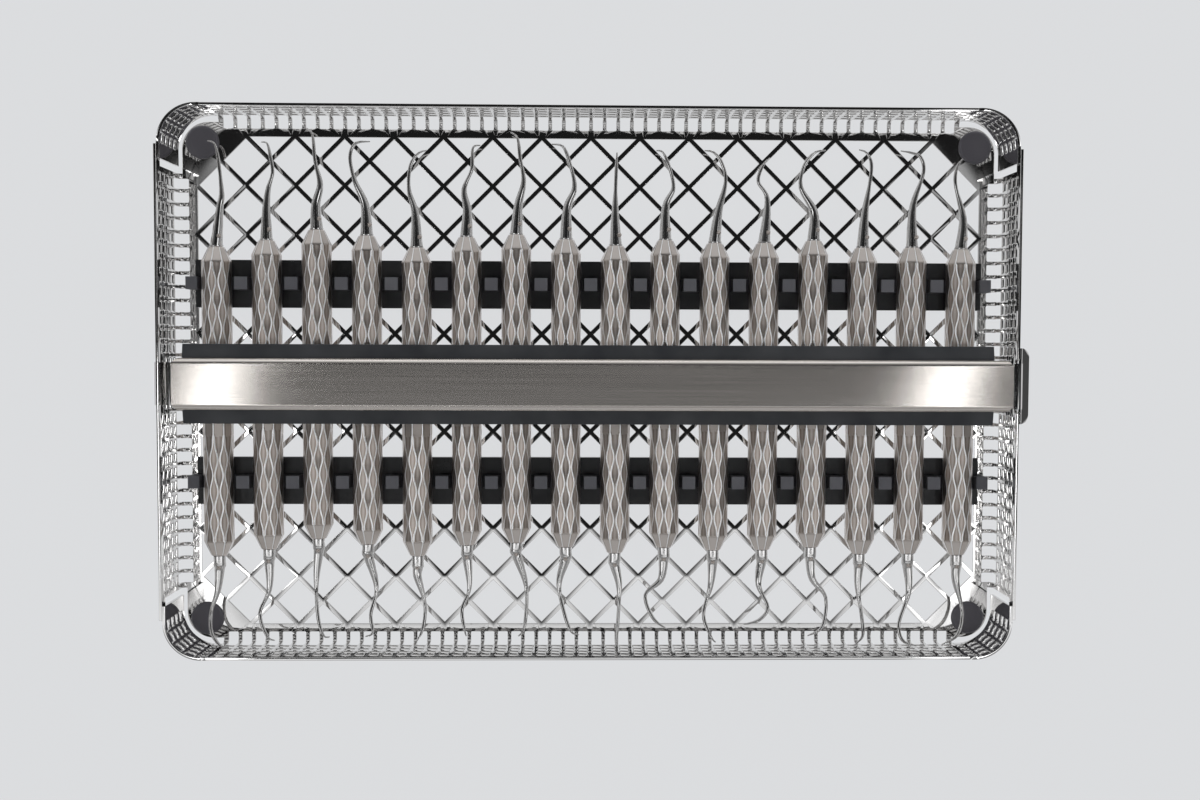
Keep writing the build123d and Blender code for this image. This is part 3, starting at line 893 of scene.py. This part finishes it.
class Moulded:
    """Moulded silicone pieces whose outline is the node's own, with rounded edges."""

    SEGMENTS = 3

    @classmethod
    def build(cls, frame: dict, node: str, finish: Finish, body: Body, slot: str, edge: float,
              upper: Finish | None = None, upper_from: float = 0.0) -> bpy.types.Object:
        """Make one moulded piece.

        Args:
            frame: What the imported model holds.
            node: The node that it stands for.
            finish: Its finish.
            body: The body that it rides on.
            slot: The record's material slot.
            edge: How far its edges are rounded, in metres.
            upper: The finish above a height, if it differs.
            upper_from: That height, in metres.

        Returns:
            The piece.
        """
        piece = SheetMetal((node,), finish, body, slot, edge, cls.SEGMENTS).build(frame)[0]
        if upper:
            piece.data.materials.append(upper.build())
            for face in piece.data.polygons:
                face.material_index = int(face.center.z > upper_from)
        return piece


@dataclass
class Studio:
    """A pale floor, soft lamps beside the tray, and the lights that polished steel shows.

    The world is dark overhead. Each light in it has a glow, and spans over which it comes up or goes
    down: the tangent of the angle from overhead, across the tray (along X) or towards its front or
    its back (along Y).
    """

    floor_colour: Triple = (0.725, 0.735, 0.75)
    floor_size: float = 6.0
    floor_glow: float = 0.95
    light_colour: Triple = (0.86, 0.87, 0.885)
    lowest: float = 0.05
    dim: float = 0.015
    around: float = 0.72

    strip_glow: float = 10.0
    strip_inner: Span = (0.205, 0.235)
    strip_outer: Span = (0.243, 0.253)
    strip_start: Span = (0.0, 0.02)
    strip_fade: Span = (0.1, 0.17)
    strip_faded: float = 0.84
    strip_end: Span = (0.5, 0.8)

    rear_strip_glow: float = 0.55
    rear_strip_inner: Span = (0.216, 0.232)
    rear_strip_outer: Span = (0.25, 0.265)
    rear_strip_start: Span = (-0.02, 0.02)
    rear_strip_end: Span = (0.095, 0.115)

    front_glow: float = 1.2
    front_start: Span = (0.1, 0.19)
    front_fade: Span = (0.22, 0.35)
    front_faded: float = 0.7
    front_ends: Span = (1.8, 2.6)

    back_glow: float = 0.9
    back_rise: Span = (0.1, 1.9)
    back_horizon: Span = (1.9, 5.0)
    back_gain: float = 0.9

    flank_glow: float = 2.4
    flank_inner: Span = (0.42, 0.6)
    flank_outer: Span = (1.0, 1.4)
    flank_start: Span = (0.03, 0.08)
    flank_end: Span = (0.15, 0.3)

    wing_rise: Span = (2.1, 3.0)
    wing_start: Span = (0.15, 0.3)
    wing_least: float = 0.1
    front_horizon: Span = (0.7, 1.2)
    front_horizon_share: float = 0.75

    lamp_height: float = 1.0
    lamp_inner_edge: float = 0.6
    lamp_width: float = 0.6
    lamp_depth: float = 1.3
    lamp_watts: float = 2.9

    def build(self) -> None:
        """Make the floor, the world and the lamps."""
        self._floor()
        self._world()
        for name, side in (("left_softbox", -1), ("right_softbox", 1)):
            self._softbox(name, side * (self.lamp_inner_edge + self.lamp_width / 2))

    def _floor(self) -> None:
        """The floor, which stays pale and keeps the tray's shadow."""
        shape = bmesh.new()
        bmesh.ops.create_grid(shape, x_segments=1, y_segments=1, size=self.floor_size)
        floor = Bench.from_bmesh("pale_floor", shape)
        material = bpy.data.materials.new("pale_floor")
        material.use_nodes = True
        tree = Tree(material.node_tree)
        material.node_tree.nodes.clear()
        colour = (*self.floor_colour, 1.0)
        diffuse = tree.add("ShaderNodeBsdfDiffuse", {"Color": colour})
        glow = tree.add("ShaderNodeEmission", {"Color": colour, "Strength": 1.0})
        path = tree.add("ShaderNodeLightPath")
        seen = tree.maths("MAXIMUM", path.outputs["Is Camera Ray"], path.outputs["Is Glossy Ray"])
        mix = tree.add("ShaderNodeMixShader", {0: seen * self.floor_glow, 1: diffuse.outputs[0],
                                               2: glow.outputs[0]})
        tree.add("ShaderNodeOutputMaterial", {"Surface": mix.outputs[0]})
        floor.data.materials.append(material)

    def _world(self) -> None:
        """The surroundings: plain to the camera, and dark overhead with lights to all else."""
        world = bpy.data.worlds.new("studio")
        bpy.context.scene.world = world
        world.use_nodes = True
        tree = Tree(world.node_tree)
        world.node_tree.nodes.clear()
        way = tree.add("ShaderNodeTexCoord")
        parts = tree.add("ShaderNodeSeparateXYZ", {0: way.outputs["Generated"]})
        x, y, z = (tree.of(socket) for socket in parts.outputs)
        height = z.clamp(self.lowest, 1.0)
        across, behind = (x / height).absolute(), y / height
        towards = behind * -1.0
        strength = self._strength(tree, across, towards, behind)
        path = tree.add("ShaderNodeLightPath")
        shown = tree.mix(strength, 1.0, path.outputs["Is Camera Ray"])
        light = tree.add("ShaderNodeBackground", {"Color": (*self.light_colour, 1.0),
                                                  "Strength": shown})
        tree.add("ShaderNodeOutputWorld", {"Surface": light.outputs[0]})

    def _strength(self, tree: Tree, across: Sum, towards: Sum, behind: Sum) -> Sum:
        """How bright the world is in a direction.

        Args:
            tree: The world's tree.
            across: The direction's tangent along the tray, without its sign.
            towards: Its tangent towards the front.
            behind: Its tangent towards the back.

        Returns:
            The strength of the light.
        """
        strip = (tree.ramp(across, *self.strip_inner)
                 * (1.0 - tree.ramp(across, *self.strip_outer))
                 * tree.ramp(towards, *self.strip_start)
                 * (1.0 - tree.ramp(towards, *self.strip_fade) * self.strip_faded)
                 * (1.0 - tree.ramp(towards, *self.strip_end)) * self.strip_glow)
        rear_strip = (tree.ramp(across, *self.rear_strip_inner)
                      * (1.0 - tree.ramp(across, *self.rear_strip_outer))
                      * (1.0 - tree.ramp(towards, *self.rear_strip_start))
                      * (1.0 - tree.ramp(behind, *self.rear_strip_end)) * self.rear_strip_glow)
        front = (tree.ramp(towards, *self.front_start)
                 * (1.0 - tree.ramp(towards, *self.front_fade) * self.front_faded)
                 * (1.0 - tree.ramp(across, *self.front_ends)) * self.front_glow)
        back = (tree.ramp(behind, *self.back_rise)
                + tree.ramp(behind, *self.back_horizon) * self.back_gain) * self.back_glow
        flank = (tree.ramp(across, *self.flank_inner)
                 * (1.0 - tree.ramp(across, *self.flank_outer))
                 * tree.ramp(towards.absolute(), *self.flank_start)
                 * (1.0 - tree.ramp(towards.absolute(), *self.flank_end)) * self.flank_glow)
        wings = (tree.ramp(across, *self.wing_rise)
                 * tree.ramp(behind, *self.wing_start).clamp(self.wing_least, 1.0))
        horizon = tree.ramp(towards, *self.front_horizon) * self.front_horizon_share
        low = tree.maths("MAXIMUM", wings, horizon)
        boxes = tree.maths("MAXIMUM", tree.maths("MAXIMUM", strip + rear_strip, front),
                           tree.maths("MAXIMUM", flank, back))
        return tree.maths("MAXIMUM", boxes, tree.mix(self.dim, self.around, low))

    def _softbox(self, name: str, x: float) -> None:
        """One soft lamp beside the tray, facing down.

        Args:
            name: Its name.
            x: Where its middle is along the tray, in metres.
        """
        lamp = bpy.data.lights.new(name, "AREA")
        lamp.shape = "RECTANGLE"
        lamp.size, lamp.size_y = self.lamp_width, self.lamp_depth
        lamp.energy = self.lamp_watts
        holder = bpy.data.objects.new(name, lamp)
        bpy.context.scene.collection.objects.link(holder)
        holder.location = (x, 0.0, self.lamp_height)
        holder.visible_camera = False
        holder.visible_glossy = False


@dataclass
class PhotoCamera:
    """The camera as it stood over the tray, from a fit to the lattice, the rim and the slots."""

    place: Triple = (-2.72 * MM, 13.0 * MM, 539.8 * MM)
    turn: Triple = (-3.281, -1.457, 0.2135)
    focal_pixels: float = 1572.2
    picture_width: float = 1200.0
    sensor: float = 36.0
    shift: Span = (-0.0188, 0.0294)
    clip: Span = (0.01, 50.0)

    def build(self) -> bpy.types.Object:
        """Make the camera and use it."""
        data = bpy.data.cameras.new("camera")
        data.sensor_width = self.sensor
        data.lens = self.focal_pixels / self.picture_width * self.sensor
        data.shift_x, data.shift_y = self.shift
        data.clip_start, data.clip_end = self.clip
        camera = bpy.data.objects.new("camera", data)
        camera.location = self.place
        camera.rotation_euler = Euler([math.radians(angle) for angle in self.turn], "XYZ")
        bpy.context.scene.collection.objects.link(camera)
        bpy.context.scene.camera = camera
        return camera


BAR_LEFT, BAR_RIGHT = -135.4 * MM, 138.2 * MM
BAR_EDGE, BAR_SEGMENTS = 0.15 * MM, 3
PAD_EDGE, RACK_EDGE = 0.25 * MM, 0.2 * MM
STUDS_FROM = 5.95 * MM
SHEET_NODES = ("base_plate", "front_wall", "rear_wall", "left_wall", "right_wall", "front_left_corner",
               "front_right_corner", "rear_left_corner", "rear_right_corner")


def main() -> None:
    """Build the wash tray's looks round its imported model."""
    logging.basicConfig(level=logging.INFO, format="%(message)s")
    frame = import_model()
    bpy.context.scene.view_settings.view_transform = "Standard"
    PhotoCamera().build()
    Studio().build()
    SheetMetal(SHEET_NODES, POLISHED_SHEET, Body.TRAY, "tray_steel").build(frame)
    bar = SheetMetal(("clamp_bar",), BRUSHED_BAR, Body.CLAMP, "bar_steel", BAR_EDGE, BAR_SEGMENTS)
    SheetMetal.polish_ends(bar.build(frame)[0], POLISHED_SHEET, BAR_LEFT, BAR_RIGHT)
    Moulded.build(frame, "clamp_pad", GREY_PAD, Body.CLAMP, "pad_silicone", PAD_EDGE)
    # Racks: painted shade finish below STUDS_FROM, lighter grey stud finish above.
    for node in ("front_rack", "rear_rack"):
        Moulded.build(frame, node, SHADED_RACK, Body.TRAY, "rack_silicone", RACK_EDGE, STUD_RACK,
                      STUDS_FROM)
    Feet().build()
    tree = HandleTree()
    for instrument in INSTRUMENTS:
        instrument.build(tree)


if __name__ == "__main__":
    main()
